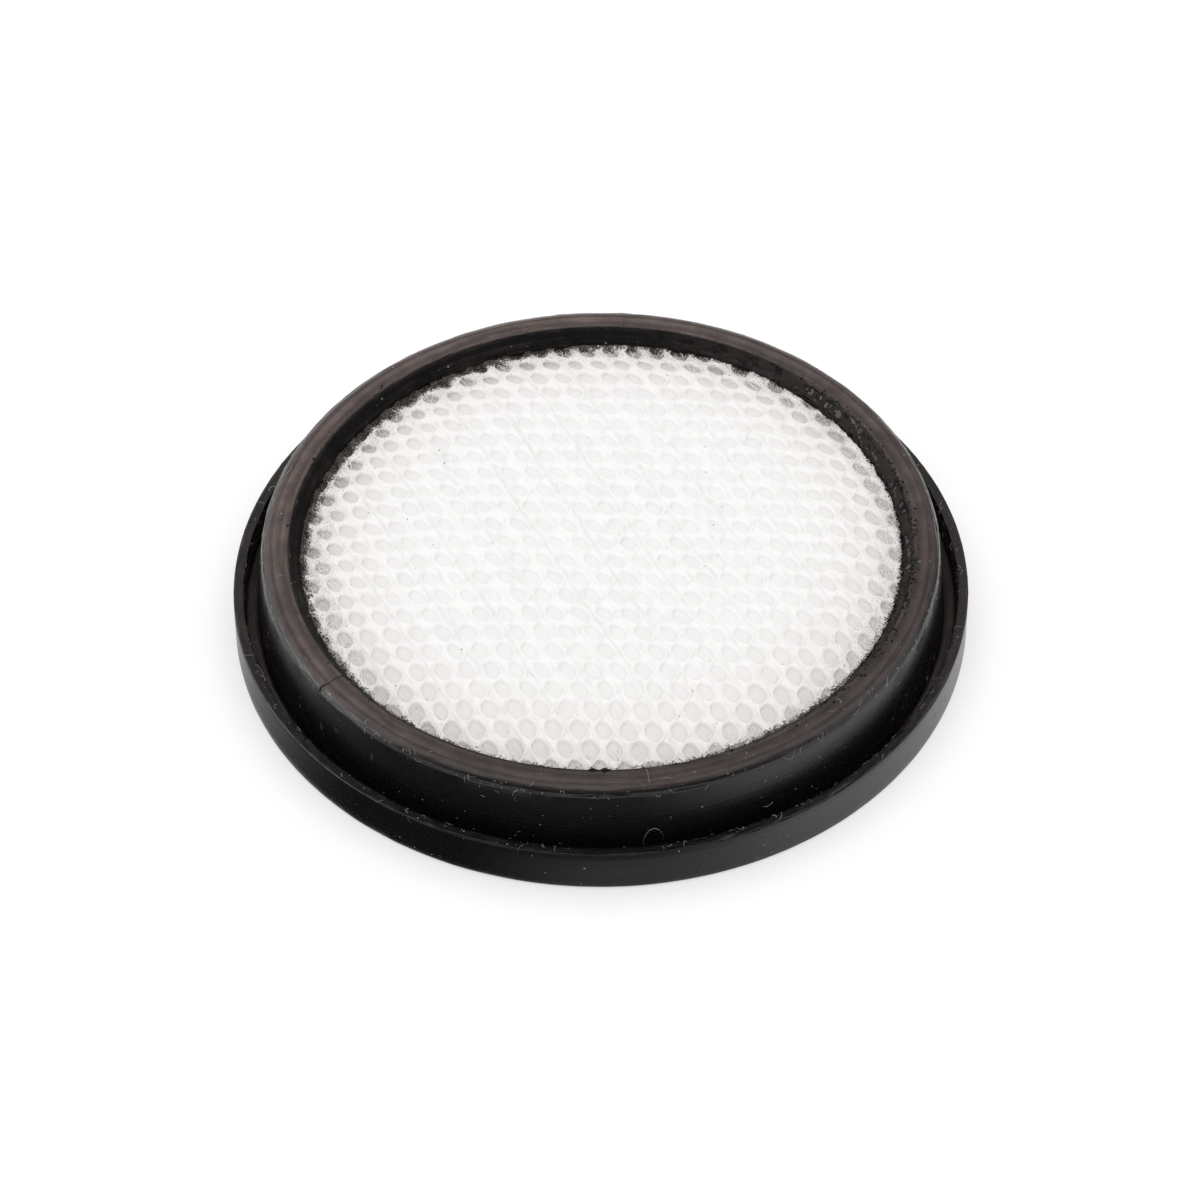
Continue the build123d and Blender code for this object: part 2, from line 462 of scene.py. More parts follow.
def mesh_cloth(material):
    """Knitted mesh: one patch for each eyelet, from its middle out to the border of its cell.

    The rings of a patch lie at shares of the eyelet's leaning edge, then at shares of the way on to the
    border, which neighbours have in common. Eyelets on the near side are larger and lean less. The floor
    is sunk below the dome, deeper near the far rim and darkened there with painted shade, and less where
    the frame presses the mesh flat. Beyond the window the radius is squeezed so that it ends inside the
    frame.
    """
    rng = np.random.default_rng(31)
    count = int(MESH_RADIUS / ROW_PITCH) + 3
    row, column = np.meshgrid(np.arange(-count, count + 1), np.arange(-count, count + 1), indexing="ij")
    middle = np.stack([(column + 0.5 * (row % 2)) * EYELET_PITCH, row * ROW_PITCH], axis=-1).reshape(-1, 2)
    middle = middle[np.hypot(*plan_of_net(*middle.T)) < MESH_RADIUS + 0.6]
    cells = len(middle)
    border = cell_border()
    angle = np.arctan2(border[:, 1], border[:, 0])
    near = 1 - smoothstep(-38, 2, middle[:, 1])
    lean = EYELET_LEAN + 0.12 - 0.3 * near + rng.normal(0, 0.08, cells)
    size = (0.87 + 0.15 * near) * np.clip(rng.normal(1, 0.05, cells), 0.88, 1.1)
    reach = np.minimum(eyelet_edge(angle[None], lean[:, None]) * size[:, None], 0.93 * np.hypot(*border.T))
    edge = reach[..., None] * np.stack([np.cos(angle), np.sin(angle)], axis=-1)
    rings = [middle[:, None] + edge * inner + (border - edge) * outer for inner, outer in CELL_RINGS]
    shared, join = np.unique(np.rint(rings[-1] * 1000).reshape(-1, 2), axis=0, return_inverse=True)
    steps = len(border)
    loose = np.stack(rings[:-1], axis=1).reshape(-1, 2)
    net = np.concatenate([middle, loose, shared / 1000])
    inner = cells + np.arange(len(loose)).reshape(cells, len(rings) - 1, steps)
    index = np.concatenate([inner, cells + len(loose) + join.reshape(cells, 1, steps)], axis=1)
    after = np.roll(index, -1, axis=2)
    centre = np.broadcast_to(np.arange(cells)[:, None], (cells, steps))
    fans = np.stack([centre, index[:, 0], after[:, 0]], axis=-1).reshape(-1, 3)
    bands = np.stack([index[:, :-1], index[:, 1:], after[:, 1:], after[:, :-1]], axis=-1).reshape(-1, 4)
    edges = np.stack([index[:, -1], after[:, -1]], axis=-1).reshape(-1, 2)
    sink = np.concatenate(
        [
            np.ones(cells),
            np.tile(np.repeat(CELL_SINK[:-1], steps), cells),
            np.full(len(shared), CELL_SINK[-1]),
        ]
    )
    x, y = plan_of_net(*net.T)
    radius = np.maximum(np.hypot(x, y), 1e-6)
    room = MESH_RADIUS - GRIP_START
    squeezed = GRIP_START + room * (1 - np.exp(-np.maximum(radius - GRIP_START, 0) / room))
    squeezed = np.where(radius > GRIP_START, squeezed, radius)
    x, y = x * squeezed / radius, y * squeezed / radius
    turn = np.arctan2(y, x)
    from_rim = np.maximum(soak_radius(turn) - squeezed, 0)
    # Weight of the far side, where the eyelets sink deeper and get painted shade
    deep_shaded_side = 0.1 + 0.9 * smoothstep(-0.9, 0.9, np.cos(turn - DEEPEST_SHADE_ANGLE))
    depth = EYELET_DEPTH + RIM_DEPTH * deep_shaded_side * (1 - smoothstep(0.5, 4, from_rim))
    depth = 0.15 + (depth - 0.15) * (1 - smoothstep(44.5, 45.5, squeezed))
    # Painted shade: the eyelet floors darken towards the rim, most on the far side
    eyelet_shade = deep_shaded_side * sink**2 * np.minimum(1.6 * np.exp(-from_rim / RIM_SHADE_FADE), 1)
    uneven = 0.03 * np.sin(0.9 * x + 0.4 * y) + 0.02 * np.sin(1.7 * y - 0.6 * x + 1)
    top = dome(squeezed) - 0.1 + uneven - depth * sink
    points, faces = close_below(np.stack([x, y, top], axis=1), [fans, bands], edges, MESH_SEAT)
    spare = np.zeros(len(points) - len(x))
    shade = np.concatenate([rng.random(cells), np.zeros(len(x) - cells)])
    shade[cells : cells + len(loose)] = np.repeat(shade[:cells], (len(rings) - 1) * steps)
    values = {"sunk": sink, "tone": shade, "eyelet_shade": eyelet_shade}
    values = {label: np.concatenate([numbers, spare]) for label, numbers in values.items()}
    return make_piece("mesh_cloth", points, faces, material, values)


def tube_piece(name, paths, thickness, material, tones):
    """Three-sided tubes along paths of equal or different length, closed at both ends.

    At each point the section's corners lie on a flat oval, 1.2 r along the path's level side vector and
    0.45 r upright.
    """
    turn = np.radians([90, 210, 330])
    all_points, quads, caps, shades = [], [], [], []
    first = 0
    for path, width, tone in zip(paths, thickness, tones):
        ahead = np.gradient(path, axis=0)
        side = np.stack([-ahead[:, 1], ahead[:, 0], np.zeros(len(path))], axis=1)
        side /= np.maximum(np.linalg.norm(side, axis=1, keepdims=True), 1e-9)
        ring = side[:, None] * 1.2 * np.cos(turn)[None, :, None]
        ring[:, :, 2] += 0.45 * np.sin(turn)
        all_points.append((path[:, None] + width * ring).reshape(-1, 3))
        count = len(path)
        faces = band_faces(count, 3, False, True)[:, [0, 3, 2, 1]]
        quads.append(first + faces)
        last = first + 3 * (count - 1)
        caps.append([[first, first + 2, first + 1], [last, last + 1, last + 2]])
        shades.append(np.full(3 * count, tone))
        first += 3 * count
    points = np.concatenate(all_points)
    return make_piece(
        name,
        points,
        [np.concatenate(quads), np.concatenate(caps)],
        material,
        {"tone": np.concatenate(shades)},
        smooth=False,
    )


YARN_REACH = 46.4
YARN_STEP = 0.85


def yarn_bundle(rng, line, across, fibres, spread, lift):
    """Fibres of one bundle that follows a line of the net, given at steps across the rows.

    Fibres lie side by side at seats from -1 to 1 of the bundle's spread, waver by two sines with random
    phases, and rise and fall with the lift where bundles meet.
    """
    paths, thickness, tones = [], [], []
    for fibre in range(fibres):
        seat = (fibre + 0.5) / fibres * 2 - 1 + rng.normal(0, 0.25)
        phase = rng.uniform(0, 2 * math.pi, 3)
        pace = rng.uniform(0.6, 1.5, 2)
        waver = 0.07 * np.sin(pace[0] * across + phase[0]) + 0.06 * np.sin(2.3 * pace[1] * across + phase[1])
        x, y = plan_of_net(line + spread * seat + waver, across)
        crown = 0.04 - 0.3 * (spread * seat) ** 2
        height = dome(np.hypot(x, y)) - 0.11 + crown + lift + 0.03 * np.sin(1.7 * across + phase[2])
        paths.append(np.stack([x, y, height], axis=1))
        thickness.append(rng.uniform(0.035, 0.072))
        tones.append(rng.random())
    return paths, thickness, tones


def yarn_family(name, lines, fibres, seed, material):
    """Yarns of the mesh along given lines; a line returns its place, spread and lift at steps across.

    Only the stretch of a line that lies inside the frame's grip is kept.
    """
    rng = np.random.default_rng(seed)
    paths, thickness, tones = [], [], []
    steps = np.arange(-YARN_REACH - 2, YARN_REACH + 2, YARN_STEP)
    for line in lines:
        place, spread, lift = line(steps)
        inside = np.flatnonzero(np.hypot(*plan_of_net(place, steps)) < YARN_REACH)
        if len(inside) < 5:
            continue
        bundle = yarn_bundle(rng, place[inside], steps[inside], fibres, spread[inside], lift[inside])
        for store, found in zip((paths, thickness, tones), bundle):
            store.extend(found)
    return tube_piece(name, paths, thickness, material, tones)


def wale_line(number):
    """Stitch column: it swings a quarter pitch to either side, and meets a neighbour at every row."""

    def line(across):
        swing = (-1) ** number * np.cos(math.pi * across / ROW_PITCH)
        place = (number + 0.5) * EYELET_PITCH / 2 + swing * (EYELET_PITCH / 4 - 0.2)
        apart = np.sin(math.pi * across / ROW_PITCH)
        spread = 0.17 + 0.4 * np.maximum((-1) ** number * apart, 0)
        return place, spread, 0.03 * (-1) ** number * np.cos(math.pi * across / ROW_PITCH)

    return line


def leaning_line(number):
    """Laid-in yarn: a straight line that falls half a pitch to the right for each row."""

    def line(across):
        place = (number + 0.5) * EYELET_PITCH - across * EYELET_PITCH / (2 * ROW_PITCH)
        spread = 0.3 + 0.14 * np.sin(math.pi * across / ROW_PITCH) ** 2
        return place, spread, 0.04 * np.cos(2 * math.pi * across / ROW_PITCH)

    return line


def mesh_fuzz(material, count=5600):
    """Loose fibres of the mesh: short bowed paths over the yarns, mostly along the leaning yarns."""
    rng = np.random.default_rng(51)
    reach = 45.2 * np.sqrt(rng.random(count))
    turn = rng.uniform(0, 2 * math.pi, count)
    start_x, start_y = reach * np.cos(turn), reach * np.sin(turn)
    length = rng.uniform(0.8, 2.6, count)
    heading = np.radians(-62 + rng.normal(0, 28, count)) + math.pi * rng.integers(0, 2, count)
    bend = rng.normal(0, 0.5, count)
    share = np.linspace(-0.5, 0.5, 5)[None, :]
    direction = heading[:, None] + bend[:, None] * share
    x = start_x[:, None] + length[:, None] * share * np.cos(direction)
    y = start_y[:, None] + length[:, None] * share * np.sin(direction)
    on_yarn = eyelet_reach(*net_of_plan(x, y))
    sag = 0.2 * (1 - smoothstep(0.85, 1.2, on_yarn))
    arch = rng.uniform(0.0, 0.16, count)[:, None] * (1 - 4 * share**2)
    z = dome(np.hypot(x, y)) - 0.05 + arch - sag
    keep = (on_yarn.min(axis=1) > 0.74) | (reach > 41)
    paths = list(np.stack([x, y, z], axis=-1)[keep])
    thickness = rng.uniform(0.025, 0.05, len(paths))
    return tube_piece("mesh_fuzz", paths, thickness, material, rng.random(len(paths)))


def felt_pad(material):
    """Felt pad: a disc whose rear face is uneven by blurred noise, built face up and turned over."""
    side = 150
    x, y = disc_grid(side, PAD_RADIUS)
    free = np.hypot(x, y) < WINDOW - 0.2
    uneven = 0.05 * wrapped_noise(x.shape, (5, 5), 61) + 0.03 * wrapped_noise(x.shape, (1.2, 1.2), 62)
    face = -PAD_FOOT - 0.12 + uneven * free
    quads = band_faces(side, side, False, False)
    edges = np.concatenate([quads[:, [k, (k + 1) % 4]] for k in range(4)])
    points = np.stack([x, y, face], axis=-1).reshape(-1, 3)
    points, faces = close_below(points, [quads], edges, -PAD_HIGH[2] + 0.02)
    return make_piece("felt_pad", points * np.array([1, -1, -1]), faces, material)


def ring_place(angle, arc):
    """Point and outward normal of the ring at an angle and a length along its outline."""
    step = np.linalg.norm(np.diff(RING_OUTLINE, axis=0), axis=1)
    length = np.concatenate([[0], np.cumsum(step)])
    normals = outline_normals(RING_OUTLINE)
    radius, height, out_r, out_z = (
        np.interp(arc, length, column)
        for column in (*RING_OUTLINE.T, *normals.T)
    )
    point = np.stack([radius * np.cos(angle), radius * np.sin(angle), height], axis=-1)
    normal = np.stack([out_r * np.cos(angle), out_r * np.sin(angle), out_z], axis=-1)
    return point, normal


# Marks with places of their own: scratch on the land, scuff on the far lip, loop of lint on the near lip
SCRATCH_ANGLE, SCRATCH_RADIUS, SCRATCH_LENGTH = -82.2, 49.6, 2.9
SCUFF_ANGLE, SCUFF_RADIUS, SCUFF_LENGTH = 162, 54.7, 1.1
LOOP_ANGLE, LOOP_SPAN, LOOP_RISE = -82.1, 3.3, 3.4


def rubber_lint(material, count=740):
    """Lint on the rubber: curved hairs that lie on the ring's outline a hair's width off it.

    Some are strewn over the ring and most have caught on the lip's inner edge and on the shoulder. The
    last two are a fine scratch across the land and a scuff on the far lip, and one more hair stands up
    from the near lip as a loop.
    """
    rng = np.random.default_rng(71)
    step = np.linalg.norm(np.diff(RING_OUTLINE, axis=0), axis=1)
    length = np.concatenate([[0], np.cumsum(step)])

    def arc_at(place):
        """Length along the outline at the point nearest to a place."""
        return length[np.argmin(np.hypot(*(RING_OUTLINE - place).T))]

    outer_foot = arc_at((LIP_OUTER, 1.0))
    inner_edge = arc_at((LAND_INNER, FRAME_HEIGHT))
    catches = np.array([arc_at((LIP_INNER, LIP_HEIGHT)), arc_at((COLLAR_HEAD - 0.3, FRAME_HEIGHT - 0.8))])
    strewn = rng.random(count) < 0.4
    arc = np.where(
        strewn,
        rng.uniform(outer_foot, inner_edge, count),
        catches[rng.integers(0, 2, count)] + rng.normal(0, 0.25, count),
    )
    angle = rng.uniform(0, 2 * math.pi, count)
    size = rng.gamma(1.5, 0.36, count) + 0.1
    heading = rng.uniform(0, 2 * math.pi, count)
    bend = rng.normal(0, 2.4, count)
    arc[-2:] = arc_at((SCRATCH_RADIUS, FRAME_HEIGHT)), arc_at((SCUFF_RADIUS, LIP_HEIGHT))
    angle[-2:] = np.radians([SCRATCH_ANGLE, SCUFF_ANGLE])
    size[-2:] = SCRATCH_LENGTH, SCUFF_LENGTH
    heading[-2:] = math.pi / 2
    bend[-2:] = 0.15, 0.0
    share = np.linspace(-0.5, 0.5, 9)[None, :]
    direction = heading[:, None] + bend[:, None] * share
    stride = size[:, None] / 8
    hair_arc = arc[:, None] + np.cumsum(stride * np.sin(direction), axis=1)
    hair_angle = angle[:, None] + np.cumsum(stride * np.cos(direction), axis=1) / 51.0
    point, normal = ring_place(hair_angle, hair_arc)
    bow = rng.random(count)[:, None, None] ** 2 * size[:, None, None] * (1 - 4 * share**2)[..., None]
    point = point + normal * (0.03 + 0.13 * bow)
    sweep = np.linspace(0, math.pi, 13)
    foot = np.radians(LOOP_ANGLE - LOOP_SPAN / 2 * np.cos(sweep))
    standing = LIP_HEIGHT + LOOP_RISE * np.sin(sweep)
    loop = np.stack([LIP_INNER * np.cos(foot), LIP_INNER * np.sin(foot), standing], axis=1)
    thickness = rng.uniform(0.01, 0.024, count + 1)
    return tube_piece("rubber_lint", [*point, loop], thickness, material, rng.random(count + 1))


def mesh_crumbs(material, count=170, clustered=650, edging=420):
    """Specks of rubber: eight-sided crumbs with uneven corners.

    Some lie on the mesh, mostly near the rim, some cluster on the wall of the window on the right, and
    some edge the land there. The last two are lumps on the near edge of the land.
    """
    rng = np.random.default_rng(81)
    by_rim = rng.random(count) < 0.7
    reach = np.where(by_rim, 44.6 - rng.gamma(1.2, 1.3, count), 43 * np.sqrt(rng.random(count)))
    turn = rng.uniform(0, 2 * math.pi, count)
    size = rng.uniform(0.05, 0.13, count)
    x, y = reach * np.cos(turn), reach * np.sin(turn)
    on_yarn = eyelet_reach(*net_of_plan(x, y))
    z = dome(np.abs(reach)) - 0.02 - EYELET_DEPTH * (1 - smoothstep(0.8, 1.1, on_yarn))
    share = rng.beta(2.2, 1.5, clustered)
    turn = np.radians(rng.normal(-2, 21, clustered))
    wall = LAND_INNER - (LAND_INNER - WINDOW + 0.35) * share
    x = np.concatenate([x, wall * np.cos(turn)])
    y = np.concatenate([y, wall * np.sin(turn)])
    z = np.concatenate([z, GRIP_HEIGHT + 0.1 + (FRAME_HEIGHT - 0.1 - GRIP_HEIGHT) * (1 - share) ** 2])
    size = np.concatenate([size, rng.uniform(0.08, 0.27, clustered)])
    turn = np.where(rng.random(edging) < 0.75, rng.normal(-2, 26, edging), rng.uniform(-180, 180, edging))
    turn[-2:] = LUMP_ANGLES
    turn = np.radians(turn)
    wall = LAND_INNER + out_of_round(turn) - 0.1 + np.abs(rng.normal(0, 0.5, edging))
    wall[-2:] = LAND_INNER - 0.1
    grain = rng.uniform(0.06, 0.34, edging)
    grain[-2:] = LUMP_SIZE
    x = np.concatenate([x, wall * np.cos(turn)])
    y = np.concatenate([y, wall * np.sin(turn)])
    z = np.concatenate([z, np.full(edging, FRAME_HEIGHT - 0.06)])
    size = np.concatenate([size, grain])
    count = count + clustered + edging
    corner = np.array([[1, 0, 0], [0, 1, 0], [-1, 0, 0], [0, -1, 0], [0, 0, 0.7], [0, 0, -0.7]])
    shape = corner[None] * rng.uniform(0.6, 1.3, (count, 6, 1)) * size[:, None, None]
    shape[-2:] *= np.array([1.5, 1.0, 0.75])
    points = shape + np.stack([x, y, z], axis=-1)[:, None]
    sides = np.array([[0, 1, 4], [1, 2, 4], [2, 3, 4], [3, 0, 4], [1, 0, 5], [2, 1, 5], [3, 2, 5], [0, 3, 5]])
    faces = (6 * np.arange(count)[:, None, None] + sides[None]).reshape(-1, 3)
    dusty = np.where(rng.random(count) < 0.55, rng.random(count), 0.0)
    dusty[-edging:] = 0
    dusty = np.repeat(dusty, 6)
    return make_piece("mesh_crumbs", points.reshape(-1, 3), [faces], material, {"settled": dusty})


def put(tree, kind, **settings):
    """Add a node and set its properties."""
    node = tree.nodes.new(kind)
    for key, value in settings.items():
        setattr(node, key, value)
    return node


def feed(tree, socket, value):
    """Link a socket to an input, or set the input to a constant."""
    if isinstance(value, bpy.types.NodeSocket):
        tree.links.new(value, socket)
    else:
        socket.default_value = value


def calc(tree, operation, *values, clamp=False):
    """Math node on sockets or numbers."""
    node = put(tree, "ShaderNodeMath", operation=operation, use_clamp=clamp)
    for socket, value in zip(node.inputs, values):
        feed(tree, socket, value)
    return node.outputs[0]


def scaled(tree, vector, factor):
    """Vector multiplied by three factors."""
    node = put(tree, "ShaderNodeVectorMath", operation="MULTIPLY")
    feed(tree, node.inputs[0], vector)
    node.inputs[1].default_value = factor
    return node.outputs[0]


def rise(tree, value, low, high, to_low=0.0, to_high=1.0):
    """Smooth step of a value between two limits."""
    node = put(tree, "ShaderNodeMapRange", interpolation_type="SMOOTHSTEP")
    feed(tree, node.inputs["Value"], value)
    feed(tree, node.inputs["From Min"], low)
    feed(tree, node.inputs["From Max"], high)
    node.inputs["To Min"].default_value = to_low
    node.inputs["To Max"].default_value = to_high
    return node.outputs["Result"]


def cloud(tree, vector, scale, detail=3.0, rough=0.55):
    """Noise between 0 and 1."""
    node = put(tree, "ShaderNodeTexNoise")
    feed(tree, node.inputs["Vector"], vector)
    node.inputs["Scale"].default_value = scale
    node.inputs["Detail"].default_value = detail
    node.inputs["Roughness"].default_value = rough
    return node.outputs["Fac"]


def blend(tree, mask, first, second):
    """Colour that goes from first to second with the mask."""
    node = put(tree, "ShaderNodeMix", data_type="RGBA")
    feed(tree, node.inputs[0], mask)
    feed(tree, node.inputs[6], first)
    feed(tree, node.inputs[7], second)
    return node.outputs[2]


def polar(tree, place):
    """Radius from the axis and height, in metres, of a place."""
    flat = put(tree, "ShaderNodeVectorMath", operation="LENGTH")
    feed(tree, flat.inputs[0], scaled(tree, place, (1, 1, 0)))
    split = put(tree, "ShaderNodeSeparateXYZ")
    feed(tree, split.inputs[0], place)
    return flat.outputs["Value"], split.outputs


def new_group(name, inputs, outputs):
    """Node group with a Place input, further number inputs and number outputs."""
    group = bpy.data.node_groups.new(name, "ShaderNodeTree")
    group.interface.new_socket("Place", in_out="INPUT", socket_type="NodeSocketVector")
    for label, value in inputs.items():
        socket = group.interface.new_socket(label, in_out="INPUT", socket_type="NodeSocketFloat")
        socket.default_value = value
    for label in outputs:
        group.interface.new_socket(label, in_out="OUTPUT", socket_type="NodeSocketFloat")
    return group, put(group, "NodeGroupInput").outputs, put(group, "NodeGroupOutput").inputs


def moulding_streaks():
    """Streaks round the axis: noise over radius and height that changes slowly along the ring."""
    group, given, result = new_group("Moulding streaks", {"Fineness": 3000.0, "Wander": 2.0}, ["Streak"])
    radius, split = polar(group, given["Place"])
    drift = calc(group, "MULTIPLY", cloud(group, given["Place"], 55.0, 2.0), given["Wander"])
    join = put(group, "ShaderNodeCombineXYZ")
    feed(group, join.inputs[0], calc(group, "MULTIPLY", radius, given["Fineness"]))
    feed(group, join.inputs[1], calc(group, "MULTIPLY", split[2], given["Fineness"]))
    feed(group, join.inputs[2], drift)
    feed(group, result["Streak"], cloud(group, join.outputs[0], 1.0, 3.0, 0.6))
    return group


def settled_dust():
    """Cloudy dust and bright specks: broken noise, and the cores of some of the cells of a pattern."""
    group, given, result = new_group("Settled dust", {"Cover": 0.5, "Speck size": 0.09}, ["Dust", "Specks"])
    patchy = rise(group, cloud(group, given["Place"], 260.0, 6.0, 0.65), 0.3, 0.75)
    feed(group, result["Dust"], calc(group, "MULTIPLY", patchy, given["Cover"], clamp=True))
    cells = put(group, "ShaderNodeTexVoronoi")
    feed(group, cells.inputs["Vector"], given["Place"])
    cells.inputs["Scale"].default_value = 820.0
    picked = put(group, "ShaderNodeSeparateColor")
    feed(group, picked.inputs[0], cells.outputs["Color"])
    size = calc(group, "MULTIPLY", picked.outputs[1], given["Speck size"])
    core = calc(group, "LESS_THAN", cells.outputs["Distance"], size)
    chosen = calc(group, "GREATER_THAN", picked.outputs[0], 0.72)
    feed(group, result["Specks"], calc(group, "MULTIPLY", core, chosen))
    return group


def rubber_soak():
    """Where rubber has soaked into the mesh, and where dirt with painted shade of the collar darkens it
    towards the rim: radius against a limit that swings round the rim.
    """
    group, given, result = new_group("Rubber soak", {"Raggedness": 1.0}, ["Soak", "Grime and shade"])
    radius, split = polar(group, given["Place"])

    def wave(cosine, sine, size, turn):
        """size * cos(angle - turn), from the cosine and the sine of the angle."""
        across = calc(group, "MULTIPLY", sine, size * math.sin(turn))
        return calc(group, "MULTIPLY_ADD", cosine, size * math.cos(turn), across)

    span = calc(group, "MAXIMUM", radius, MM)
    cosine, sine = (calc(group, "DIVIDE", split[axis], span) for axis in (0, 1))
    swing = wave(cosine, sine, SOAK_SWING, SOAK_ANGLE)
    twice_cosine = calc(group, "MULTIPLY_ADD", calc(group, "MULTIPLY", cosine, cosine), 2.0, -1.0)
    twice_sine = calc(group, "MULTIPLY", calc(group, "MULTIPLY", cosine, sine), 2.0)
    oval = wave(twice_cosine, twice_sine, SOAK_OVAL, 2 * SOAK_OVAL_ANGLE)
    limit = calc(group, "ADD", calc(group, "ADD", swing, oval), SOAK_MIDDLE)
    beyond = calc(group, "SUBTRACT", calc(group, "DIVIDE", radius, MM), limit)
    coarse = calc(group, "SUBTRACT", cloud(group, given["Place"], 700.0, 3.0, 0.6), 0.5)
    fine = calc(group, "SUBTRACT", cloud(group, given["Place"], 3500.0, 2.0, 0.6), 0.5)
    uneven = calc(group, "ADD", calc(group, "MULTIPLY", coarse, 2.2), calc(group, "MULTIPLY", fine, 3.4))
    edge = calc(group, "MULTIPLY_ADD", uneven, given["Raggedness"], beyond)
    feed(group, result["Soak"], rise(group, edge, -0.25, 0.55))
    patchy = calc(group, "MULTIPLY_ADD", coarse, 4.0, beyond)
    # Dirt with painted shade of the collar: darker from 22 mm inside the limit out to the rim
    grime_and_shade = rise(group, patchy, -22.0, 1.0)
    feed(group, result["Grime and shade"], calc(group, "POWER", grime_and_shade, 1.8))
    return group


def fibre_grain():
    """Fine crossing fibres: the greater of two stretched noises that lie along the two yarn families."""
    group, given, result = new_group("Fibre grain", {"Fineness": 5000.0}, ["Height"])
    strands = []
    for turn in (math.radians(63), math.radians(-63)):
        mapping = put(group, "ShaderNodeMapping")
        feed(group, mapping.inputs["Vector"], given["Place"])
        mapping.inputs["Rotation"].default_value = (0, 0, turn)
        stretch = scaled(group, mapping.outputs[0], (0.16, 1.0, 1.0))
        sized = put(group, "ShaderNodeVectorMath", operation="SCALE")
        feed(group, sized.inputs[0], stretch)
        feed(group, sized.inputs["Scale"], given["Fineness"])
        strands.append(cloud(group, sized.outputs[0], 1.0, 2.0, 0.5))
    feed(group, result["Height"], calc(group, "MAXIMUM", *strands))
    return group


STREAKS = moulding_streaks()
DUST = settled_dust()
SOAK = rubber_soak()
GRAIN = fibre_grain()


def use(tree, group, place, **values):
    """Place a node group and return its outputs."""
    node = put(tree, "ShaderNodeGroup", node_tree=group)
    tree.links.new(place, node.inputs["Place"])
    for label, value in values.items():
        feed(tree, node.inputs[label.replace("_", " ")], value)
    return node.outputs


def new_material(name):
    """Material with a Principled shader; returns it with its tree, shader and object coordinates."""
    material = bpy.data.materials.new(name)
    material.use_nodes = True
    tree = material.node_tree
    shader = tree.nodes["Principled BSDF"]
    place = put(tree, "ShaderNodeTexCoord").outputs["Object"]
    return material, tree, shader, place


def painted(tree, label):
    """Number that a mesh carries for each of its points."""
    return put(tree, "ShaderNodeAttribute", attribute_name=label).outputs["Fac"]


def roughen(tree, shader, height, distance, strength):
    """Bump of a height on the shader's normal; distance in metres."""
    bump = put(tree, "ShaderNodeBump")
    bump.inputs["Strength"].default_value = strength
    bump.inputs["Distance"].default_value = distance
    tree.links.new(height, bump.inputs["Height"])
    tree.links.new(bump.outputs[0], shader.inputs["Normal"])


RUBBER_BLACK = (0.0034, 0.0032, 0.0033, 1)
BROWN_DUST = (0.17, 0.127, 0.115, 1)
PALE_SPECK = (0.4, 0.38, 0.36, 1)
CRUMB_BLACK = (0.0055, 0.005, 0.005, 1)
CRUMB_DUST = (0.058, 0.046, 0.041, 1)
CRUMB_SPECK = (0.3, 0.27, 0.25, 1)


def moulded_rubber():
    """Black rubber, satin, with streaks round the axis, brown dust on what faces up, and specks."""
    material, tree, shader, place = new_material("Moulded rubber")
    streak = use(tree, STREAKS, place, Fineness=3600.0, Wander=2.0)["Streak"]
    broad = use(tree, STREAKS, place, Fineness=750.0, Wander=3.0)["Streak"]
    patches = rise(tree, cloud(tree, place, 75.0, 4.0, 0.6), 0.3, 0.7, 0.75, 1.0)
    settled = painted(tree, "settled")
    bands = rise(tree, broad, 0.38, 0.6, 0.58, 1.0)
    lines = calc(tree, "MULTIPLY", bands, rise(tree, streak, 0.3, 0.65, 0.85, 1.0))
    cover = calc(tree, "MULTIPLY", settled, calc(tree, "MULTIPLY", lines, patches))
    dust = use(tree, DUST, place, Cover=cover, Speck_size=0.13)
    layer = calc(tree, "MULTIPLY_ADD", cover, 0.7, calc(tree, "MULTIPLY", dust["Dust"], 0.5), clamp=True)
    colour = blend(tree, layer, RUBBER_BLACK, BROWN_DUST)
    colour = blend(tree, calc(tree, "MULTIPLY", dust["Specks"], 0.6), colour, PALE_SPECK)
    tree.links.new(colour, shader.inputs["Base Color"])
    grain = cloud(tree, place, 4200.0, 3.0, 0.6)
    satin = calc(tree, "MULTIPLY_ADD", streak, 0.14, calc(tree, "MULTIPLY_ADD", grain, 0.12, 0.14))
    tree.links.new(satin, shader.inputs["Roughness"])
    shader.inputs["IOR"].default_value = 1.5
    height = calc(tree, "MULTIPLY_ADD", streak, 1.0, calc(tree, "MULTIPLY", grain, 0.6))
    roughen(tree, shader, height, 0.00004, 0.8)
    return material


def crumbled_rubber():
    """Rubber that set in crumbs: black, dull, with pale dust in streaks and specks."""
    material, tree, shader, place = new_material("Crumbled rubber")
    dust = use(tree, DUST, place, Cover=0.6, Speck_size=0.2)
    streak = use(tree, STREAKS, place, Fineness=1500.0, Wander=3.0)["Streak"]
    grain = cloud(tree, place, 3000.0, 4.0, 0.65)
    layer = calc(tree, "MULTIPLY", dust["Dust"], rise(tree, streak, 0.45, 0.75, 0.1, 1.0))
    layer = calc(tree, "MAXIMUM", layer, calc(tree, "MULTIPLY", painted(tree, "settled"), 0.5))
    colour = blend(tree, layer, CRUMB_BLACK, CRUMB_DUST)
    colour = blend(tree, calc(tree, "MULTIPLY", dust["Specks"], 0.5), colour, CRUMB_SPECK)
    tree.links.new(colour, shader.inputs["Base Color"])
    tree.links.new(rise(tree, grain, 0.3, 0.7, 0.6, 0.95), shader.inputs["Roughness"])
    shader.inputs["Specular IOR Level"].default_value = 0.12
    roughen(tree, shader, grain, 0.0002, 0.8)
    return material
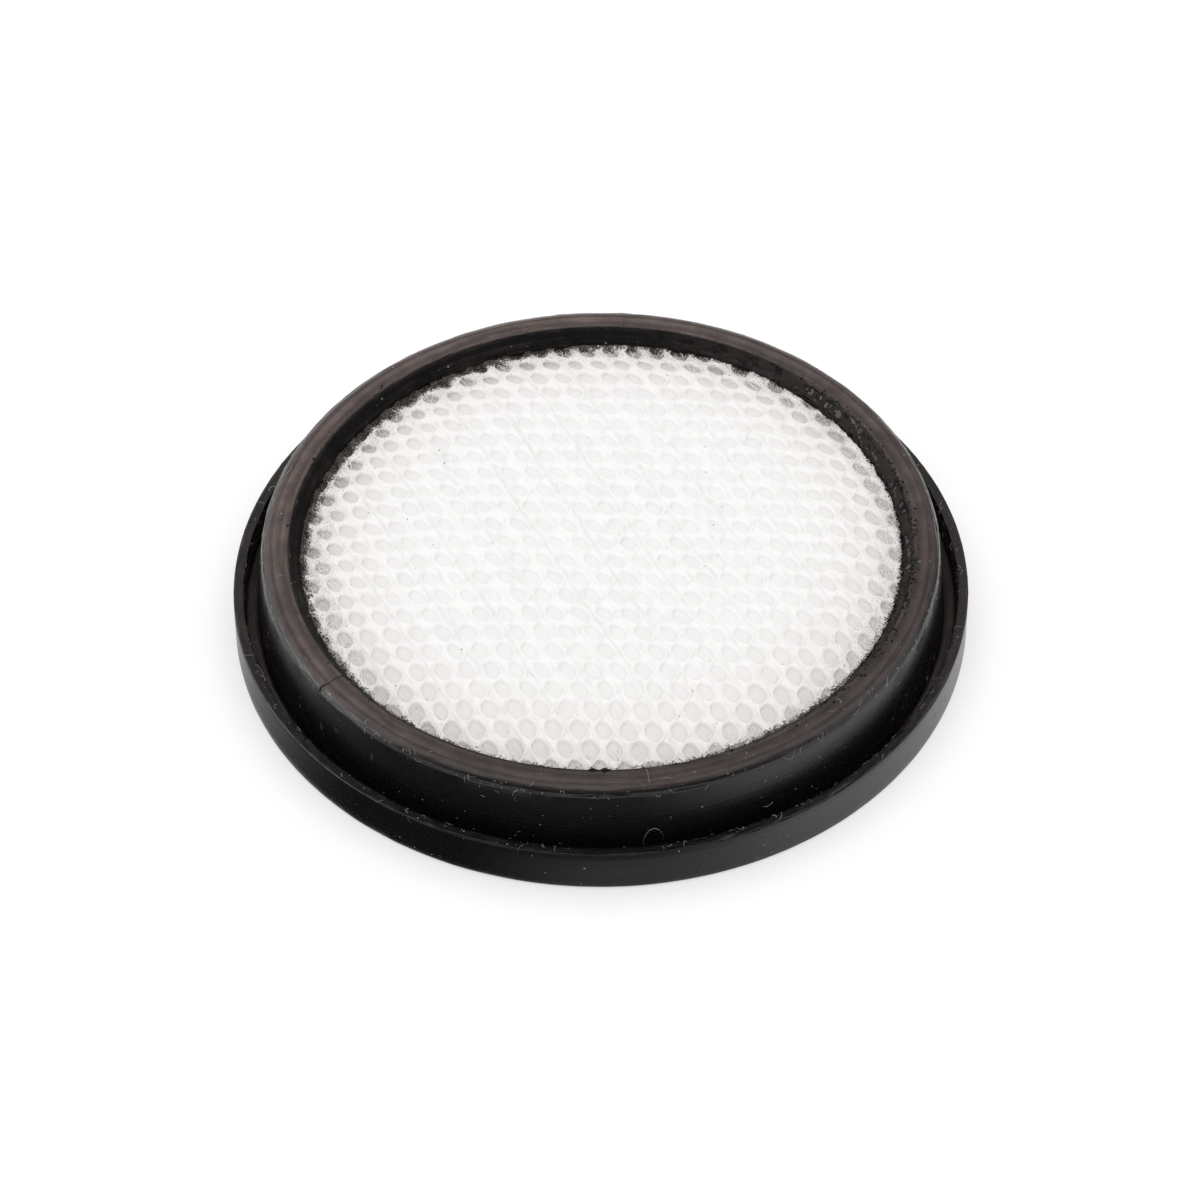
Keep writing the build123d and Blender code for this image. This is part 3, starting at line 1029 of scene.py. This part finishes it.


# Painted shade: the colour of the ground between and under the yarns
SHADED_STRAND_GAP = (0.95, 0.94, 0.932, 1)
WHITE_YARN = (0.982, 0.975, 0.967, 1)
# Painted shade: the colour of the eyelet floors
SHADED_YARN = (0.9, 0.89, 0.882, 1)
# Dirt with painted shade of the collar, for the yarn and for the eyelet floors
GRIMY_SHADED_YARN = (0.9, 0.87, 0.855, 1)
GRIMY_SHADED_FLOOR = (0.73, 0.685, 0.665, 1)
# Painted shade of the deep eyelets by the far rim
SHADED_RIM_FLOOR = (0.1, 0.086, 0.08, 1)
SOAKED_BROWN = (0.17, 0.135, 0.118, 1)
SOAKED_BLACK = (0.018, 0.0155, 0.0145, 1)
DARK_FLECK = (0.05, 0.04, 0.036, 1)
LIGHT_FIBRE = (0.975, 0.97, 0.96, 1)
DULL_FIBRE = (0.945, 0.935, 0.925, 1)


def soiled_and_shaded(tree, place, colour, grime_shade_share, grimy_shaded):
    """Colour of a mesh fibre under the grimy colour, dark soak and flecks towards the rim; the grimy colour
    is dirt with painted shade of the collar.
    """
    soak = use(tree, SOAK, place)
    dust = use(tree, DUST, place, Cover=1.0, Speck_size=0.05)
    # Dirt with painted shade of the collar towards the rim
    colour = blend(tree, calc(tree, "MULTIPLY", soak["Grime and shade"], grime_shade_share), colour, grimy_shaded)
    grains = rise(tree, cloud(tree, place, 4200.0, 2.0, 0.6), 0.4, 0.62)
    colour = blend(tree, soak["Soak"], colour, blend(tree, grains, SOAKED_BLACK, SOAKED_BROWN))
    near_rim = calc(tree, "MULTIPLY", dust["Specks"], rise(tree, soak["Grime and shade"], 0.54, 1.0, 0.1, 0.8))
    flecks = rise(tree, cloud(tree, place, 5200.0, 1.0, 0.5), 0.6, 0.68)
    flecks = calc(tree, "MULTIPLY", flecks, rise(tree, soak["Grime and shade"], 0.72, 0.96, 0.0, 0.7))
    far = rise(tree, polar(tree, place)[1][1], -0.034, -0.01, 0.1, 1.0)
    flecks = calc(tree, "MULTIPLY", flecks, far)
    return blend(tree, calc(tree, "MAXIMUM", near_rim, flecks), colour, DARK_FLECK)


def knitted_ground():
    """Ground of the mesh: white walls, with painted shade that makes it a little greyer under the yarns and
    down in each eyelet.
    """
    material, tree, shader, place = new_material("Knitted ground")
    sunk = painted(tree, "sunk")
    tone = painted(tree, "tone")
    # Painted shade: the strand ground between the fibres and the eyelet floors are darker than the walls
    colour = blend(tree, rise(tree, sunk, 0.02, 0.25), SHADED_STRAND_GAP, WHITE_YARN)
    shade = calc(tree, "MULTIPLY", rise(tree, sunk, 0.6, 1.0), rise(tree, tone, 0.0, 1.0, 0.8, 1.0))
    colour = blend(tree, shade, colour, SHADED_YARN)
    speckle = rise(tree, cloud(tree, place, 4000.0, 2.0, 0.6), 0.35, 0.65, 0.7, 1.2)
    # Painted shade: speckled dark floors in the eyelets by the far rim
    eyelet_shade = calc(tree, "MULTIPLY", painted(tree, "eyelet_shade"), speckle, clamp=True)
    colour = blend(tree, eyelet_shade, colour, SHADED_RIM_FLOOR)
    # Dirt with painted shade of the collar, darker down in the eyelets
    grimy_shaded = blend(tree, rise(tree, sunk, 0.3, 0.9), GRIMY_SHADED_YARN, GRIMY_SHADED_FLOOR)
    tree.links.new(soiled_and_shaded(tree, place, colour, 0.65, grimy_shaded), shader.inputs["Base Color"])
    grain = use(tree, GRAIN, place, Fineness=6000.0)["Height"]
    tree.links.new(rise(tree, grain, 0.3, 0.8, 0.85, 0.65), shader.inputs["Roughness"])
    shader.inputs["Specular IOR Level"].default_value = 0.25
    roughen(tree, shader, grain, 0.00012, 0.7)
    return material


def knitted_yarn():
    """Yarn of the mesh: white, each fibre a little lighter or darker than the next."""
    material, tree, shader, place = new_material("Knitted yarn")
    tone = painted(tree, "tone")
    colour = blend(tree, tone, LIGHT_FIBRE, DULL_FIBRE)
    tree.links.new(soiled_and_shaded(tree, place, colour, 0.4, GRIMY_SHADED_YARN), shader.inputs["Base Color"])
    tree.links.new(rise(tree, tone, 0.0, 1.0, 0.45, 0.7), shader.inputs["Roughness"])
    shader.inputs["Specular IOR Level"].default_value = 0.3
    return material


def needled_felt():
    """Felt of the pad: pale, mottled, with fibres pressed flat."""
    material, tree, shader, place = new_material("Needled felt")
    mottle = cloud(tree, place, 160.0, 4.0, 0.6)
    colour = blend(tree, mottle, (0.86, 0.855, 0.84, 1), (0.78, 0.77, 0.75, 1))
    dust = use(tree, DUST, place, Cover=0.25, Speck_size=0.06)
    colour = blend(tree, dust["Dust"], colour, (0.62, 0.6, 0.57, 1))
    tree.links.new(colour, shader.inputs["Base Color"])
    fibres = use(tree, GRAIN, place, Fineness=2600.0)["Height"]
    mat_height = calc(tree, "MULTIPLY_ADD", cloud(tree, place, 1500.0, 4.0, 0.7), 0.8, fibres)
    tree.links.new(rise(tree, mottle, 0.3, 0.7, 0.8, 0.95), shader.inputs["Roughness"])
    roughen(tree, shader, mat_height, 0.00035, 0.8)
    return material


def pale_lint():
    """Lint: grey-white hairs, each of its own shade."""
    material, tree, shader, _ = new_material("Pale lint")
    tone = painted(tree, "tone")
    tree.links.new(blend(tree, tone, (0.62, 0.6, 0.58, 1), (0.3, 0.28, 0.27, 1)), shader.inputs["Base Color"])
    tree.links.new(rise(tree, tone, 0.0, 1.0, 0.5, 0.8), shader.inputs["Roughness"])
    return material


def bright_ray(tree):
    """1 for rays that show the background: seen directly, in a gloss or through glass."""
    light = put(tree, "ShaderNodeLightPath").outputs
    seen = calc(tree, "ADD", light["Is Camera Ray"], light["Is Glossy Ray"])
    return calc(tree, "ADD", seen, light["Is Transmission Ray"], clamp=True)


def studio_floor():
    """White floor: a plain wide sheet that keeps the shadow."""
    half = 4000.0
    points = np.array([[-half, -half, 0], [half, -half, 0], [half, half, 0], [-half, half, 0]])
    points[:, 2] = -0.05
    material, tree, shader, _ = new_material("White floor")
    tree.nodes.remove(shader)
    matt = put(tree, "ShaderNodeBsdfDiffuse")
    matt.inputs["Color"].default_value = (0.6, 0.6, 0.6, 1)
    glow = put(tree, "ShaderNodeEmission")
    tree.links.new(calc(tree, "MULTIPLY", bright_ray(tree), 0.47), glow.inputs["Strength"])
    both = put(tree, "ShaderNodeAddShader")
    tree.links.new(matt.outputs[0], both.inputs[0])
    tree.links.new(glow.outputs[0], both.inputs[1])
    tree.links.new(both.outputs[0], tree.nodes["Material Output"].inputs["Surface"])
    floor = make_piece("floor", points, [np.array([[0, 1, 2, 3]])], material)


def reflected_panel(name, turns, lifts, colour, glow=0.0):
    """Part of a globe round the filter that only reflections see, fading out at its borders.

    turns and lifts each hold four angles in degrees: start, full, still full, end.
    """
    reach = 1600.0
    turn = np.linspace(turns[0], turns[3], 40)[:, None]
    lift = np.linspace(lifts[0], lifts[3], 24)[None, :]
    level = reach * np.cos(np.radians(lift))
    x = level * np.cos(np.radians(turn))
    y = level * np.sin(np.radians(turn))
    z = reach * np.sin(np.radians(lift)) + 0 * turn
    cover = smoothstep(turns[0], turns[1], turn) * (1 - smoothstep(turns[2], turns[3], turn))
    cover = cover * smoothstep(lifts[0], lifts[1], lift) * (1 - smoothstep(lifts[2], lifts[3], lift))
    material, tree, shader, _ = new_material(name.replace("_", " "))
    shader.inputs["Base Color"].default_value = (*colour, 1)
    shader.inputs["Roughness"].default_value = 1.0
    shader.inputs["Emission Color"].default_value = (1, 1, 1, 1)
    shader.inputs["Emission Strength"].default_value = glow
    tree.links.new(painted(tree, "cover"), shader.inputs["Alpha"])
    points = np.stack([x, y, z], axis=-1).reshape(-1, 3)
    hide_panel(make_piece(name, points, [band_faces(40, 24, False, False)], material, {"cover": cover}))


def hide_panel(panel):
    """Set a panel's ray visibility so that only reflections see it."""
    panel.visible_camera = False
    panel.visible_diffuse = False
    panel.visible_shadow = False


def near_shade():
    """Shade on the floor by the near left of the filter, as a card that only reflections see."""
    reach = np.linspace(LIP_OUTER + 0.3, LIP_OUTER + 45, 12)[None, :]
    turn = np.radians(np.linspace(-190, -50, 40))[:, None]
    points = np.stack([reach * np.cos(turn), reach * np.sin(turn), 0.03 + 0 * reach * turn], axis=-1)
    side = np.degrees(turn)
    dark = smoothstep(-188, -132, side) * (1 - smoothstep(-85, -50, side))
    by_lip = 1 - smoothstep(LIP_OUTER + 5, LIP_OUTER + 9, reach)
    dark = dark * (1 - 0.5 * smoothstep(-115, -85, side) * by_lip)
    dark = dark * (1 - smoothstep(LIP_OUTER + 12, LIP_OUTER + 44, reach))
    material, tree, shader, _ = new_material("Near shade")
    shader.inputs["Base Color"].default_value = (0.02, 0.02, 0.02, 1)
    shader.inputs["Roughness"].default_value = 1.0
    tree.links.new(painted(tree, "dark"), shader.inputs["Alpha"])
    faces = [band_faces(40, 12, False, False)]
    hide_panel(make_piece("near_shade", points.reshape(-1, 3), faces, material, {"dark": dark}))


def studio_light():
    """White surroundings that light the filter evenly from all sides."""
    world = bpy.data.worlds.new("Studio")
    bpy.context.scene.world = world
    world.use_nodes = True
    tree = world.node_tree
    back = tree.nodes["Background"]
    back.inputs["Color"].default_value = (1, 1, 1, 1)
    strength = rise(tree, bright_ray(tree), 0.0, 1.0, 1.05, 1.0)
    tree.links.new(strength, back.inputs["Strength"])


def photo_camera():
    """Camera fitted to the photograph: it looks at the origin from the front, above the horizon."""
    camera = bpy.data.objects.new("camera", bpy.data.cameras.new("camera"))
    bpy.context.scene.collection.objects.link(camera)
    back = Vector((0, -math.cos(CAMERA_ELEVATION), math.sin(CAMERA_ELEVATION)))
    right = Vector((1, 0, 0))
    up = back.cross(right)
    cosine, sine = math.cos(CAMERA_ROLL), math.sin(CAMERA_ROLL)
    turned_right = right * cosine + up * sine
    turned_up = up * cosine - right * sine
    turn = Matrix((turned_right, turned_up, back)).transposed().to_4x4()
    camera.matrix_world = Matrix.Translation(back * CAMERA_DISTANCE * MM) @ turn
    camera.data.sensor_width = SENSOR
    camera.data.lens = SENSOR * FOCAL_PIXELS / IMAGE_PIXELS
    camera.data.shift_x = -ORIGIN_OFFSET[0] / IMAGE_PIXELS
    camera.data.shift_y = ORIGIN_OFFSET[1] / IMAGE_PIXELS
    camera.data.clip_start = 0.01
    camera.data.clip_end = 50
    bpy.context.scene.camera = camera


RUBBER = moulded_rubber()
CRUMBS = crumbled_rubber()
GROUND = knitted_ground()
YARN = knitted_yarn()
FELT = needled_felt()
LINT = pale_lint()

ring = rubber_ring(RUBBER)
skin = crumbled_skin(CRUMBS)
cloth = mesh_cloth(GROUND)
wales = [wale_line(number) for number in range(-28, 28)]
laid_lines = [leaning_line(number) for number in range(-21, 21)]
wale_yarns = yarn_family("mesh_wales", wales, 4, 43, YARN)
leaning_yarns = yarn_family("mesh_laid_yarns", laid_lines, 5, 44, YARN)
fuzz = mesh_fuzz(YARN)
crumbs = mesh_crumbs(CRUMBS)
felt = felt_pad(FELT)
lint = rubber_lint(LINT)

for piece in (ring, skin, cloth, leaning_yarns, wale_yarns, fuzz, crumbs, felt, lint):
    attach(piece, "root")
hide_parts("rubber_frame")
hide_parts("mesh_disc")
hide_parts("filter_pad")

studio_floor()
reflected_panel("camera_side", (-160, -157, -23, -20), (4, 7, 70, 74), (0.1, 0.1, 0.1))
reflected_panel("right_side", (5, 25, 60, 85), (0, 3, 25, 42), (0.3, 0.3, 0.3))
reflected_panel("left_light", (150, 170, 194, 210), (0, 8, 28, 44), (0, 0, 0), 3.4)
reflected_panel("far_side", (50, 72, 108, 130), (18, 34, 58, 74), (0.3, 0.3, 0.3))
near_shade()
studio_light()
photo_camera()
bpy.context.scene.view_settings.view_transform = "Standard"
